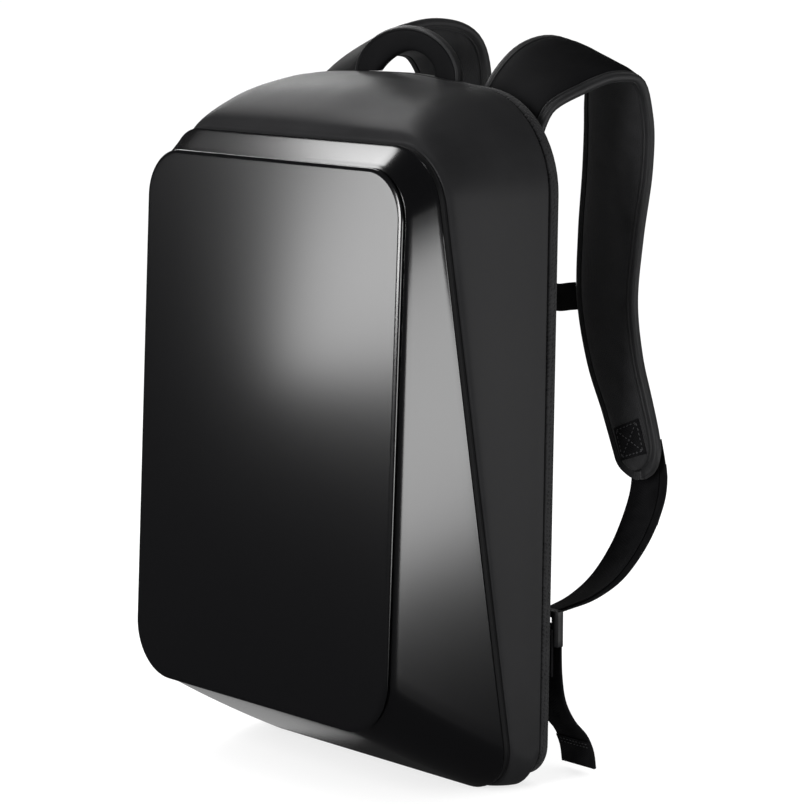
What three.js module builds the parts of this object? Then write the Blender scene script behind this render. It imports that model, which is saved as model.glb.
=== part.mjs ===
// Hard shell backpack, in millimetres with +Z up. The glossy front plate faces -Y, the shoulder straps
// lie on the +Y side, and +X is on the right when the plate is looked at.
import * as THREE from 'three';

// Room between pieces that touch
const clearance = 0.3;

// Cloth body: heights above the ground, and depths ahead of the rear face of the back panel
const bodyHeight = 487;
const bodyHalfWidth = 143.5;
const topFlare = 6.5;
const topCrown = 7;
const crownReach = 95;
const topCornerRadius = 70;
const bottomCornerRadius = 25;
const rearLift = 6;
const clothWall = 3.5;
const clothEdgeRound = 0.8;

// Back panel
const panelThickness = 22;
const panelRim = 10;
const panelEdgeRound = 4.5;
const panelSeamInset = 1;

// Seam between the hard shell and the cloth, in a plane that slopes forward to the top
const seamNarrowing = 1.5;
const seamDrop = 33;
const seamCornerRadius = 38;
const seamTopDepth = 111;
const seamBottomDepth = 38;
const pipingRadius = 2.6;
const pipingInset = 0.2;

// Hard shell
const shellWall = 1.2;
const shellEdgeRound = 1.2;
const shellFoot = 2;

// Front plate
const plateSideMargin = 5.5;
const plateTaper = 0.5;
const plateTopMargin = 14;
const plateBottomHeight = 58;
const plateTopRadius = 34;
const plateBottomRadius = 39;
const plateTopDepth = 133;
const plateBottomDepth = 151;
const plateStand = 5;
const plateWall = 1.2;
const plateRound = 2;
const plateCrown = 2.5;
const lipInset = 2.5;
const shadowGap = 2;

// Grab handle
const handleOuterHalf = 55;
const handleInnerHalf = 30;
const handleRise = 33;
const handleHoleRise = 15.5;
const handleLean = 4;
const handleHoleLean = 7;
const handleThickness = 9;

// Shoulder straps
const strapWidth = 74;
const strapThickness = 12;
const strapReach = 92;
const leftSwing = 44;
const leftRise = 30;

// Webbing, tabs and adjusters
const webbingWidth = 33;
const webbingThickness = 2;
const webbingSeat = 1.2;
const endTabWidth = 18;
const endTabShift = 6;
const anchorTabHeight = 34;
const adjusterWidth = 40;
const adjusterHeight = 26;
const adjusterThickness = 6;
const adjusterRound = 5;
const adjusterCentre = 113;
const adjusterInset = 16.5;

// Sternum strap
const sternumWidth = 20;
const sternumThickness = 1.8;
const sternumSag = 4;
const sternumSeat = 2;
const buckleWidth = 44;
const buckleHeight = 26;
const buckleThickness = 9;
const buckleRound = 6;

// Points on each rounded corner, side and end of an outline
const cornerSteps = 9;
const sideSteps = 6;
const endSteps = 8;
const pipingSides = 10;

const { lerp } = THREE.MathUtils;

// Outlines in the X-Z plane
const seamHalfWidth = bodyHalfWidth - seamNarrowing;
const seamTop = bodyHeight - seamDrop;
const seamOutline = {
  halfTop: seamHalfWidth,
  halfBottom: seamHalfWidth,
  top: seamTop,
  bottom: 0,
  radiusTop: seamCornerRadius,
  radiusBottom: seamCornerRadius,
  crown: 0,
};
const backOutline = {
  halfTop: bodyHalfWidth + topFlare,
  halfBottom: bodyHalfWidth,
  top: bodyHeight,
  bottom: rearLift,
  radiusTop: topCornerRadius,
  radiusBottom: bottomCornerRadius,
  crown: topCrown,
};
const plateOutline = {
  halfTop: seamHalfWidth - plateSideMargin - plateTaper,
  halfBottom: seamHalfWidth - plateSideMargin + plateTaper,
  top: seamTop - plateTopMargin,
  bottom: plateBottomHeight,
  radiusTop: plateTopRadius,
  radiusBottom: plateBottomRadius,
  crown: 0,
};

// Depths ahead of the rear face, at a height z
const seamDepth = (z) => lerp(seamBottomDepth, seamTopDepth, z / seamTop);
const plateSlope = (plateTopDepth - plateBottomDepth) / (plateOutline.top - plateOutline.bottom);
const plateDepth = (z) => plateBottomDepth + plateSlope * (z - plateOutline.bottom);
const rimDepth = (z) => plateDepth(z) - plateStand;
const seamWidth = 2 * (pipingRadius + clearance);

function mixOutlines(first, second, share, bottomShare = share) {
  const mixed = {};
  for (const key of Object.keys(first)) {
    mixed[key] = lerp(first[key], second[key], key === 'bottom' ? bottomShare : share);
  }
  return mixed;
}

// How far the soft top of an outline is raised at a place x. It falls away sooner on the right.
function crownAt(shape, x) {
  if (x < 0) return shape.crown * (1 - (x / shape.halfTop) ** 2);
  return x < crownReach ? shape.crown * (1 + Math.cos(Math.PI * x / crownReach)) / 2 : 0;
}

// Points [x, z] once round a rounded outline, from the lower right corner and up the right side
function outlinePoints(shape, inset = 0) {
  const top = shape.top - inset;
  const bottom = shape.bottom + inset;
  const halfTop = shape.halfTop - inset;
  const halfBottom = shape.halfBottom - inset;
  const radiusTop = Math.max(shape.radiusTop - inset, 1);
  const radiusBottom = Math.max(shape.radiusBottom - inset, 1);
  const corners = [
    { x: halfBottom - radiusBottom, z: bottom + radiusBottom, radius: radiusBottom, steps: sideSteps },
    { x: halfTop - radiusTop, z: top - radiusTop, radius: radiusTop, steps: endSteps },
    { x: radiusTop - halfTop, z: top - radiusTop, radius: radiusTop, steps: sideSteps },
    { x: radiusBottom - halfBottom, z: bottom + radiusBottom, radius: radiusBottom, steps: endSteps },
  ];
  const cornerPoint = (corner, quarter, share) => {
    const angle = (quarter - 1 + share) * Math.PI / 2;
    return [corner.x + corner.radius * Math.cos(angle), corner.z + corner.radius * Math.sin(angle)];
  };
  const points = [];
  corners.forEach((corner, quarter) => {
    for (let step = 0; step <= cornerSteps; step++) {
      points.push(cornerPoint(corner, quarter, step / cornerSteps));
    }
    const from = points[points.length - 1];
    const to = cornerPoint(corners[(quarter + 1) % 4], quarter + 1, 0);
    for (let step = 1; step < corner.steps; step++) {
      const share = step / corner.steps;
      points.push([lerp(from[0], to[0], share), lerp(from[1], to[1], share)]);
    }
  });
  const upper = top - radiusTop;
  return points.map(([x, z]) => [x, z > upper ? z + crownAt(shape, x) : z]);
}

// A ring of points in space: an outline whose depth ahead of the rear face follows its height
function ring(shape, inset, depth) {
  return outlinePoints(shape, inset).map(([x, z]) => new THREE.Vector3(x, -depth(z), z));
}

// A closed skin over rings with equal numbers of points. The end rings are capped, or joined if looped.
function loft(rings, looped = false) {
  const count = rings[0].length;
  const points = rings.flat();
  const index = [];
  const spans = looped ? rings.length : rings.length - 1;
  for (let row = 0; row < spans; row++) {
    const here = row * count;
    const next = ((row + 1) % rings.length) * count;
    for (let step = 0; step < count; step++) {
      const after = (step + 1) % count;
      index.push(here + step, here + after, next + after);
      index.push(here + step, next + after, next + step);
    }
  }
  if (!looped) {
    for (const row of [0, rings.length - 1]) {
      const centre = new THREE.Vector3();
      rings[row].forEach((point) => centre.addScaledVector(point, 1 / count));
      points.push(centre);
      for (let step = 0; step < count; step++) {
        const here = row * count + step;
        const after = row * count + (step + 1) % count;
        index.push(points.length - 1, ...(row === 0 ? [after, here] : [here, after]));
      }
    }
  }
  const geometry = new THREE.BufferGeometry().setFromPoints(points);
  geometry.setIndex(facingOut(points, index));
  geometry.computeVertexNormals();
  return geometry;
}

// The triangles turned so that they enclose a positive volume
function facingOut(points, index) {
  let volume = 0;
  for (let i = 0; i < index.length; i += 3) {
    const [a, b, c] = [points[index[i]], points[index[i + 1]], points[index[i + 2]]];
    volume += a.dot(new THREE.Vector3().crossVectors(b, c));
  }
  if (volume >= 0) return index;
  return index.map((value, i) => index[i % 3 === 0 ? i : i - (i % 3) + 3 - (i % 3)]);
}

// Sections of a band, in halves of its width and thickness
const paddedSection = [
  [-1, -0.36], [-0.88, -1], [0.88, -1], [1, -0.36], [1, 0.36], [0.88, 1], [-0.88, 1], [-1, 0.36],
];
const flatSection = [[-1, -1], [1, -1], [1, 1], [-1, 1]];

// A band along rows of { point, width, turn }. Its width lies along across, turned about its length.
function band({ rows, thickness, section, across = new THREE.Vector3(1, 0, 0), perRow = 3 }) {
  const curve = new THREE.CatmullRomCurve3(rows.map((row) => row.point));
  const steps = (rows.length - 1) * perRow;
  const rings = [];
  for (let step = 0; step <= steps; step++) {
    const share = step / steps;
    const row = Math.min(Math.floor(step / perRow), rows.length - 2);
    const within = step / perRow - row;
    const along = curve.getTangent(share);
    const centre = curve.getPoint(share);
    const side = across.clone().addScaledVector(along, -across.dot(along)).normalize();
    side.applyAxisAngle(along, THREE.MathUtils.degToRad(lerp(rows[row].turn, rows[row + 1].turn, within)));
    const normal = new THREE.Vector3().crossVectors(along, side);
    const halfWidth = lerp(rows[row].width, rows[row + 1].width, within) / 2;
    rings.push(section.map(([a, b]) => centre.clone()
      .addScaledVector(side, a * halfWidth)
      .addScaledVector(normal, b * thickness / 2)));
  }
  return loft(rings);
}

function roundedShape(width, height, radius) {
  const [x, z] = [width / 2 - radius, height / 2 - radius];
  const shape = new THREE.Shape();
  shape.absarc(x, z, radius, 0, Math.PI / 2);
  shape.absarc(-x, z, radius, Math.PI / 2, Math.PI);
  shape.absarc(-x, -z, radius, Math.PI, 1.5 * Math.PI);
  shape.absarc(x, -z, radius, 1.5 * Math.PI, 2 * Math.PI);
  return shape;
}

// A flat block standing in the X-Z plane, with its front face at y = 0 before it is placed
function uprightBlock(shape, thickness) {
  const geometry = new THREE.ExtrudeGeometry(shape, { depth: thickness, bevelEnabled: false, curveSegments: 5 });
  return geometry.rotateX(Math.PI / 2).translate(0, thickness, 0);
}

const looks = {
  plate: { color: 0x101012, roughness: 0.16, metalness: 0 },
  shell: { color: 0x111113, roughness: 0.18, metalness: 0 },
  piping: { color: 0x1c1c1e, roughness: 0.6, metalness: 0 },
  cloth: { color: 0x1b1b1d, roughness: 0.75, metalness: 0 },
  panel: { color: 0x151517, roughness: 0.85, metalness: 0 },
  strap: { color: 0x121214, roughness: 0.8, metalness: 0 },
  webbing: { color: 0x0d0d0f, roughness: 0.85, metalness: 0 },
  plastic: { color: 0x0c0c0d, roughness: 0.5, metalness: 0 },
};

const group = new THREE.Group();

function addPiece(name, look, geometry, place = [0, 0, 0]) {
  const piece = new THREE.Mesh(geometry, new THREE.MeshStandardMaterial(looks[look]));
  piece.name = name;
  piece.position.set(...place);
  group.add(piece);
}

// Front plate: a shallow crowned dish whose lip stands on the shell, with a shadow gap behind its edge
function frontPlate() {
  const seat = (z) => rimDepth(z) + clearance;
  const above = (offset) => (z) => plateDepth(z) + offset;
  const middle = (plateOutline.top + plateOutline.bottom) / 2;
  const crowned = (edge, sizes, offset) => sizes.map((size) => edge.map((point) => {
    const z = lerp(middle, point.z, size);
    return new THREE.Vector3(point.x * size, -plateDepth(z) - offset - plateCrown * (1 - size * size), z);
  }));
  const wallInside = ring(plateOutline, lipInset + plateWall, above(-plateWall));
  const rings = [
    ...crowned(wallInside, [0.15, 0.4, 0.65, 0.85], -plateWall),
    wallInside,
    ring(plateOutline, lipInset + plateWall, seat),
    ring(plateOutline, lipInset, seat),
    ring(plateOutline, lipInset, (z) => seat(z) + shadowGap),
    ring(plateOutline, 0, (z) => seat(z) + shadowGap),
  ];
  for (const angle of [0, 0.25, 0.5, 0.75, 1].map((share) => share * Math.PI / 2)) {
    rings.push(ring(plateOutline, plateRound * (1 - Math.cos(angle)), above(plateRound * (Math.sin(angle) - 1))));
  }
  const edge = rings[rings.length - 1];
  return loft([...rings, ...crowned(edge, [0.85, 0.65, 0.4, 0.15], 0)]);
}

// Hard shell: share 0 lies at the seam and share 1 at the rim of the front wall
function hardShell() {
  const footShare = shellFoot / (rimDepth(0) - seamDepth(0));
  const section = (share, bottomShare, inset, depthOffset = 0) => {
    const depth = (z) => lerp(seamDepth(z), rimDepth(z), share) + depthOffset;
    return ring(mixOutlines(seamOutline, plateOutline, share, bottomShare), inset, depth);
  };
  return loft([
    section(1, 1, shellWall, -shellWall),
    section(footShare, 0, shellWall),
    section(0, 0, shellWall + shellEdgeRound),
    section(0, 0, shellEdgeRound),
    section(footShare / 5, 0, 0),
    section(footShare, 0, 0),
    section(1, 1, 0),
  ]);
}

// Piping: a round cord that fills the seam
function seamPiping() {
  const rings = [];
  for (let step = 0; step < pipingSides; step++) {
    const angle = step / pipingSides * 2 * Math.PI;
    const inset = pipingInset + pipingRadius * (1 - Math.cos(angle));
    const offset = seamWidth / 2 - pipingRadius * Math.sin(angle);
    rings.push(ring(seamOutline, inset, (z) => seamDepth(z) - offset));
  }
  return loft(rings, true);
}

// Cloth body from the seam to the back panel. Each column is a share of the way from the one to the other:
// in depth, in the form of the top and sides, and in the lift of the underside. Edge tells which rows are
// turned in at the cloth's edge.
const bodyTable = [
  { depth: 0, spread: 0, lift: 0, edge: 1 },
  { depth: 0.02, spread: 0.05, lift: 0, edge: 0 },
  { depth: 0.07, spread: 0.26, lift: 0, edge: 0 },
  { depth: 0.2, spread: 0.5, lift: 0, edge: 0 },
  { depth: 0.42, spread: 0.77, lift: 0, edge: 0 },
  { depth: 0.68, spread: 0.93, lift: 0, edge: 0 },
  { depth: 0.9, spread: 0.99, lift: 0.7, edge: 0 },
  { depth: 0.97, spread: 1, lift: 1, edge: 0 },
  { depth: 1, spread: 1, lift: 1, edge: 1 },
];

function bodyWall() {
  const section = (row, inset) => {
    const from = (z) => seamDepth(z) - seamWidth;
    const depth = (z) => lerp(from(z), panelRim + clearance, row.depth);
    return ring(mixOutlines(seamOutline, backOutline, row.spread, row.lift), inset, depth);
  };
  const outer = bodyTable.map((row) => section(row, row.edge * clothEdgeRound));
  const inner = bodyTable.map((row) => section(row, clothWall)).reverse();
  return loft([...outer, ...inner], true);
}

// Back panel: a pad whose rim closes the body and whose inner part fits inside the cloth
function backPanel() {
  const at = (depth) => () => depth;
  const plugInset = clothWall + 2 * clearance;
  const rings = [
    ring(backOutline, plugInset, at(panelThickness)),
    ring(backOutline, plugInset, at(panelRim)),
    ring(backOutline, panelSeamInset, at(panelRim)),
    ring(backOutline, 0, at(panelRim - panelSeamInset)),
  ];
  for (const angle of [0, 1 / 3, 2 / 3, 1].map((share) => share * Math.PI / 2)) {
    const inset = panelEdgeRound * (1 - Math.cos(angle));
    rings.push(ring(backOutline, inset, at(panelEdgeRound * (1 - Math.sin(angle)))));
  }
  return loft(rings);
}

// Grab handle: a soft arch that stands on the crowned rim of the back panel and leans a little to the right,
// with a hole that comes to a blunt point
function grabHandle() {
  const steps = 18;
  const rings = [];
  for (let step = 0; step <= steps; step++) {
    const angle = step / steps * Math.PI;
    const [across, up] = [Math.cos(angle), Math.sin(angle)];
    const inner = new THREE.Vector3(handleInnerHalf * across + handleHoleLean * up, 0, handleHoleRise * up ** 1.4);
    const outer = new THREE.Vector3(handleOuterHalf * across + handleLean * up, 0, handleRise * up);
    rings.push(paddedSection.map(([a, b]) => {
      const point = inner.clone().lerp(outer, (a + 1) / 2);
      const foot = bodyHeight + crownAt(backOutline, point.x) + clearance;
      return point.add(new THREE.Vector3(0, b * handleThickness / 2 - panelRim / 2, foot));
    }));
  }
  return loft(rings);
}

// Route of a shoulder strap, from its root on the back panel over the crest to its lower end. Across is a
// share of the body's half width, back of the reach behind the panel, up of the body's height and wide of
// the strap's width. Turn is in degrees. The left strap swings further back and lies higher than the right
// one, by the shares of leftSwing and leftRise that a row takes.
const strapSeat = clearance + strapThickness / 2;
const strapTable = [
  { across: 0.69, back: 0, up: 0.862, wide: 0.82, turn: 0, swing: 0, rise: 0 },
  { across: 0.69, back: 0.012, up: 0.935, wide: 0.82, turn: 0, swing: 0, rise: 0 },
  { across: 0.7, back: 0.06, up: 0.983, wide: 0.85, turn: 11, swing: 0, rise: 0 },
  { across: 0.71, back: 0.32, up: 1.022, wide: 0.97, turn: 21, swing: 0.25, rise: 0.1 },
  { across: 0.725, back: 0.65, up: 1.037, wide: 1, turn: 21, swing: 0.6, rise: 0.22 },
  { across: 0.75, back: 0.92, up: 1.018, wide: 1, turn: 15, swing: 0.85, rise: 0.25 },
  { across: 0.75, back: 1, up: 0.955, wide: 0.96, turn: 5, swing: 1, rise: 0.2 },
  { across: 0.748, back: 1, up: 0.88, wide: 0.9, turn: 0, swing: 0.98, rise: 0.25 },
  { across: 0.743, back: 0.94, up: 0.78, wide: 0.84, turn: 0, swing: 0.85, rise: 0.35 },
  { across: 0.75, back: 0.9, up: 0.685, wide: 0.78, turn: 0, swing: 0.68, rise: 0.5 },
  { across: 0.806, back: 0.9, up: 0.6, wide: 0.72, turn: 0, swing: 0.5, rise: 0.65 },
  { across: 0.892, back: 0.9, up: 0.535, wide: 0.65, turn: 0, swing: 0.35, rise: 0.8 },
  { across: 0.975, back: 0.88, up: 0.478, wide: 0.57, turn: 0, swing: 0.2, rise: 0.95 },
  { across: 1.01, back: 0.865, up: 0.449, wide: 0.48, turn: 0, swing: 0.12, rise: 1 },
  { across: 1.025, back: 0.855, up: 0.43, wide: 0.29, turn: 0, swing: 0.08, rise: 1 },
];
const sternumRow = strapTable[9];
const strapEnd = strapTable[strapTable.length - 1];

function strapPoint(row, side) {
  const [swing, rise] = side < 0 ? [row.swing * leftSwing, row.rise * leftRise] : [0, 0];
  return new THREE.Vector3(
    side * row.across * bodyHalfWidth,
    strapSeat + row.back * strapReach + swing,
    row.up * bodyHeight + rise,
  );
}

function shoulderStrap(side) {
  const rows = strapTable.map((row) => ({
    point: strapPoint(row, side),
    width: row.wide * strapWidth,
    turn: side * row.turn,
  }));
  return band({ rows, thickness: strapThickness, section: paddedSection });
}

// Adjuster at the foot of the panel, on the anchor tab that is sewn to the panel's rear face
const adjusterAcross = bodyHalfWidth - adjusterInset;
const adjusterFront = 2 * clearance + webbingThickness;
const adjusterRear = adjusterFront + adjusterThickness;

// Webbing down to the adjuster, sewn along the rear face of the strap's last rows. Below the strap, across,
// back and up are shares of the way from the adjuster to the strap's end, and turn is in degrees.
const webbingLay = (strapThickness + webbingThickness) / 2 + 3 * clearance;
const sewnRows = strapTable.slice(-3);
const webbingTable = [
  { across: 0.965, back: 0.985, up: 0.86, turn: 0 },
  { across: 0.836, back: 0.93, up: 0.68, turn: 0 },
  { across: 0.657, back: 0.81, up: 0.47, turn: 4 },
  { across: 0.443, back: 0.63, up: 0.28, turn: 8 },
  { across: 0.229, back: 0.41, up: 0.16, turn: 12 },
  { across: 0.015, back: 0.2, up: 0.1, turn: 14 },
  { across: 0, back: 0, up: 0.08, turn: 14 },
];

function webbingRows(side) {
  const end = strapPoint(strapEnd, side);
  const sewn = sewnRows.map((row) => {
    const point = strapPoint(row, side);
    return { point: point.setY(point.y + webbingLay), width: webbingWidth, turn: 0 };
  });
  const free = webbingTable.map((row) => ({
    point: new THREE.Vector3(
      side * lerp(adjusterAcross, Math.abs(end.x), row.across),
      lerp(adjusterRear + webbingSeat, end.y + webbingLay, row.back),
      lerp(adjusterCentre, end.z, row.up),
    ),
    width: webbingWidth,
    turn: side * row.turn,
  }));
  return [...sewn, ...free];
}

function lowerWebbing(side) {
  const rows = webbingRows(side);
  return band({ rows, thickness: webbingThickness, section: flatSection, perRow: 2 });
}

// Tab folded over the webbing at the strap's end, standing out past the strap's outer edge
function endTab(side) {
  const rows = webbingRows(side).slice(1, 5).map(({ point }) => {
    point.x += side * endTabShift;
    point.y += webbingThickness + 2 * clearance;
    return { point, width: endTabWidth, turn: 0 };
  });
  return band({ rows, thickness: webbingThickness, section: flatSection, perRow: 2 });
}

// Free tail that hangs from the adjuster's rear face and runs out along the ground. Back is a share of
// the strap's reach and up a share of the adjuster's height above the ground.
const tailTable = [
  { back: 0, up: 0.96 },
  { back: 0, up: 0.84 },
  { back: 0.01, up: 0.68 },
  { back: 0.05, up: 0.52 },
  { back: 0.15, up: 0.38 },
  { back: 0.29, up: 0.26 },
  { back: 0.36, up: 0.15 },
  { back: 0.385, up: 0.04 },
];

function webbingTail(side) {
  const seat = adjusterRear + clearance + webbingThickness / 2;
  const rows = tailTable.map((row) => ({
    point: new THREE.Vector3(side * adjusterAcross, seat + row.back * strapReach, row.up * adjusterCentre),
    width: webbingWidth,
    turn: 0,
  }));
  return band({ rows, thickness: webbingThickness, section: flatSection, perRow: 2 });
}

// Half of the sternum strap, from the inner edge of a shoulder strap to the buckle between them
const buckleCentre = strapPoint(sternumRow, 1).add(strapPoint(sternumRow, -1)).multiplyScalar(0.5);
buckleCentre.y += sternumSag;

function sternumHalf(side) {
  const end = strapPoint(sternumRow, side);
  const edge = Math.abs(end.x) - sternumRow.wide * strapWidth / 2 - sternumSeat;
  const rows = [[0, 0], [0.1, 0], [0.5, 0.5], [0.9, 1], [1, 1]].map(([share, sway]) => ({
    point: new THREE.Vector3(
      side * lerp(edge, buckleWidth / 2 + sternumSeat / 2, share),
      lerp(end.y, buckleCentre.y, sway),
      lerp(end.z, buckleCentre.z, sway),
    ),
    width: sternumWidth,
    turn: 0,
  }));
  const across = new THREE.Vector3(0, 0, 1);
  return band({ rows, thickness: sternumThickness, section: flatSection, across });
}

addPiece('front_plate', 'plate', frontPlate());
addPiece('hard_shell', 'shell', hardShell());
addPiece('seam_piping', 'piping', seamPiping());
addPiece('body_wall', 'cloth', bodyWall());
addPiece('back_panel', 'panel', backPanel());
addPiece('grab_handle', 'strap', grabHandle());
const adjuster = uprightBlock(roundedShape(adjusterWidth, adjusterHeight, adjusterRound), adjusterThickness);
for (const [name, side] of [['right', 1], ['left', -1]]) {
  addPiece(`shoulder_strap_${name}`, 'strap', shoulderStrap(side));
  addPiece(`end_tab_${name}`, 'webbing', endTab(side));
  addPiece(`lower_webbing_${name}`, 'webbing', lowerWebbing(side));
  addPiece(`adjuster_${name}`, 'plastic', adjuster, [side * adjusterAcross, adjusterFront, adjusterCentre]);
  const tab = new THREE.BoxGeometry(webbingWidth, webbingThickness, anchorTabHeight);
  const tabHeight = adjusterCentre - anchorTabHeight / 2;
  addPiece(`anchor_tab_${name}`, 'webbing', tab, [side * adjusterAcross, clearance + webbingThickness / 2, tabHeight]);
  addPiece(`webbing_tail_${name}`, 'webbing', webbingTail(side));
  addPiece(`sternum_strap_${name}`, 'webbing', sternumHalf(side));
}
const buckle = uprightBlock(roundedShape(buckleWidth, buckleHeight, buckleRound), buckleThickness);
addPiece('sternum_buckle', 'plastic', buckle, [0, buckleCentre.y - buckleThickness / 2, buckleCentre.z]);

// The origin is under the middle of the whole bag, on the ground
const extent = new THREE.Box3().setFromObject(group, true);
group.position.y = -(extent.min.y + extent.max.y) / 2;

export default group;
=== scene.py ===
import math

import bmesh
import bpy
from mathutils import Matrix, Vector, noise


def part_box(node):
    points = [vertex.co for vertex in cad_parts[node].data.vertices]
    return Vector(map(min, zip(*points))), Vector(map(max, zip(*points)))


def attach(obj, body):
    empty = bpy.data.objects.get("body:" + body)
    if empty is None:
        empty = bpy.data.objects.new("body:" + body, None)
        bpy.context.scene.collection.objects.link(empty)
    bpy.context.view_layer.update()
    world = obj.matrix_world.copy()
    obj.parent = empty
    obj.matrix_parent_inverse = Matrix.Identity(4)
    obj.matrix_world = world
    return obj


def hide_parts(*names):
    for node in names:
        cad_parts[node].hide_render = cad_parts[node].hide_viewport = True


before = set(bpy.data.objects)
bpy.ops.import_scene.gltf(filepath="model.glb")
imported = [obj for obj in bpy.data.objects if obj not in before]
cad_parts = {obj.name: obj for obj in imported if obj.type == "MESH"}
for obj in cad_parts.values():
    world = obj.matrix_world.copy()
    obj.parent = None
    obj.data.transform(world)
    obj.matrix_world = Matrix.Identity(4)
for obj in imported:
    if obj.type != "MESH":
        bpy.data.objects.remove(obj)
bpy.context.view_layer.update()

# Lengths are in metres, heights above the floor, depths ahead of the rear face of the back panel.
REAR_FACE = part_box("back_panel")[1].y
CLEARANCE = 0.0003

# Cloth body
BODY_TOP = 0.487
BODY_HALF_WIDTH = 0.1435
TOP_FLARE = 0.0065
TOP_CROWN = 0.007
CROWN_REACH = 0.095
TOP_CORNER = 0.070
BOTTOM_CORNER = 0.025
REAR_LIFT = 0.006
CLOTH_WALL = 0.0035
CLOTH_ROLL = 0.0026
BODY_UNDULATION = 0.00035
WAVES_PER_METRE = (14, 14, 9)
BODY_STEPS = 5
ROLL_STEPS = 4
CALM_STEPS = 10
CALM_HEIGHT = 0.02

# Back panel
PANEL_THICKNESS = 0.022
PANEL_RIM = 0.010
PANEL_ROUND = 0.0045
PANEL_SEAM_INSET = 0.0012
PANEL_HOLLOW = 0.003
PANEL_STEPS = 7

# Seam between shell and cloth
SEAM_NARROWING = 0.0015
SEAM_TOP = 0.454
SEAM_CORNER = 0.038
SEAM_TOP_DEPTH = 0.111
SEAM_BOTTOM_DEPTH = 0.038
PIPING_RADIUS = 0.0026
PIPING_SINK = 0.0002
SEAM_WIDTH = 2 * (PIPING_RADIUS + CLEARANCE)

# Hard shell
SHELL_WALL = 0.0012
SHELL_EDGE = 0.0012
SHELL_FOOT = 0.002
SHELL_RIM_ROUND = 0.0012
SHELL_LIP = 0.004
EDGE_STEPS = 5
FACET_STEPS = 10
RIM_STEPS = 4

# Front plate
PLATE_SIDE_MARGIN = 0.0055
PLATE_TAPER = 0.0005
PLATE_TOP = 0.440
PLATE_BOTTOM = 0.058
PLATE_TOP_CORNER = 0.034
PLATE_BOTTOM_CORNER = 0.039
PLATE_TOP_DEPTH = 0.133
PLATE_BOTTOM_DEPTH = 0.151
PLATE_STAND = 0.005
PLATE_CROWN = 0.0025
PLATE_WALL = 0.0012
PLATE_LIP_INSET = 0.0025
PLATE_LIP_ROUND = 0.0004
PLATE_MIDDLE = (PLATE_TOP + PLATE_BOTTOM) / 2
SHADOW_GAP = 0.002

# Grab handle
HANDLE_OUTER_HALF = 0.055
HANDLE_INNER_HALF = 0.030
HANDLE_RISE = 0.033
HANDLE_HOLE_RISE = 0.0155
HANDLE_LEAN = 0.004
HANDLE_HOLE_LEAN = 0.007
HANDLE_HOLE_PEAK = 1.4
HANDLE_THICKNESS = 0.009
HANDLE_BINDING = 0.0028
HANDLE_EDGE_SHARE = 0.4
HANDLE_BINDING_SHARE = 0.62
HANDLE_STEPS = 56
HANDLE_CORE_STEPS = 10

# Shoulder straps
STRAP_WIDTH = 0.074
STRAP_THICKNESS = 0.012
STRAP_REACH = 0.092
LEFT_SWING = 0.044
LEFT_RISE = 0.030
STRAP_BINDING = 0.0065
BINDING_THICKNESS = 0.0064
PAD_TUCK = 0.0009
PAD_SQUARENESS, PAD_FULLNESS = 3.2, 0.45
STRAP_STEP = 0.005
TIP_STEPS = 12
TIP_SHARE = 0.9995
CORE_STEPS = 12

# Webbing, tabs and adjusters
WEBBING_WIDTH = 0.033
WEBBING_THICKNESS = 0.002
WEBBING_SEAT = 0.0012
END_TAB_WIDTH = 0.018
END_TAB_SHIFT = 0.006
ADJUSTER_THICKNESS = 0.006
ADJUSTER_CENTRE = 0.113
ADJUSTER_INSET = 0.0165
ADJUSTER_ACROSS = BODY_HALF_WIDTH - ADJUSTER_INSET
FRONT_PLY = (-1.0, 0.62)
REAR_PLY = (-0.5, 1.0)
FRONT_PLY_BACK = -0.00005
REAR_PLY_FRONT = -0.00035
SELVEDGE = 0.0016
SELVEDGE_ROUND = 0.0003
SELVEDGE_SHOULDER = 0.72
RIB_SINK = 0.12
RIBBON_STEP = 0.004
TAIL_PLY_TOP = 0.35
TAIL_FOLD_LAY = (0.4, 1.3)
TAIL_FOLD = 0.022
TAIL_SEAMS = (0.0195, 0.0165)
TAIL_SEAM_HALF = 0.014
TAIL_SEAM_RISE = {-1: 0.5, 1: 0.65}
ADJUSTER_ROUND = 0.0009

# Sewn patch and stitches
PATCH_HALF = 0.0125
PATCH_END = 0.016
PATCH_THICKNESS = 0.0007
PATCH_SINK = 0.0004
PATCH_MARGIN = 0.0022
STITCH_PITCH = 0.0031
THREAD = 0.0007
THREAD_SHAPE = (0.6, 0.5)
STITCH_SPAN = (0.15, 0.85)

# Sternum strap
STERNUM_WIDTH = 0.020
STERNUM_THICKNESS = 0.0018
STERNUM_SAG = 0.004
STERNUM_SEAT = 0.002
BUCKLE_WIDTH = 0.044
BUCKLE_CORNER = 0.006
BUCKLE_EDGE = 0.0016

# Points along each corner, side and end of an outline
CORNER_STEPS = 16
SIDE_STEPS = 30
END_STEPS = 28

# Camera
CAMERA_PLACE = Vector((1.6493, -1.4960, 0.6152))
CAMERA_TARGET = Vector((0.0221, -0.0308, 0.2625))
LENS_MM = 139.7
SENSOR_MM = 36.0

# Floor
FLOOR_SIZE = 30.0
FLOOR_GREY = 0.35
FLOOR_GLOW = 0.72

# Edges that turn by more than this many radians are rounded, and points nearer than MERGE are one
ADJUSTER_TURN = 0.6
BLOCK_TURN = 1.2
MERGE = 1e-6


def mix(first, second, share):
    return first + (second - first) * share


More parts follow.
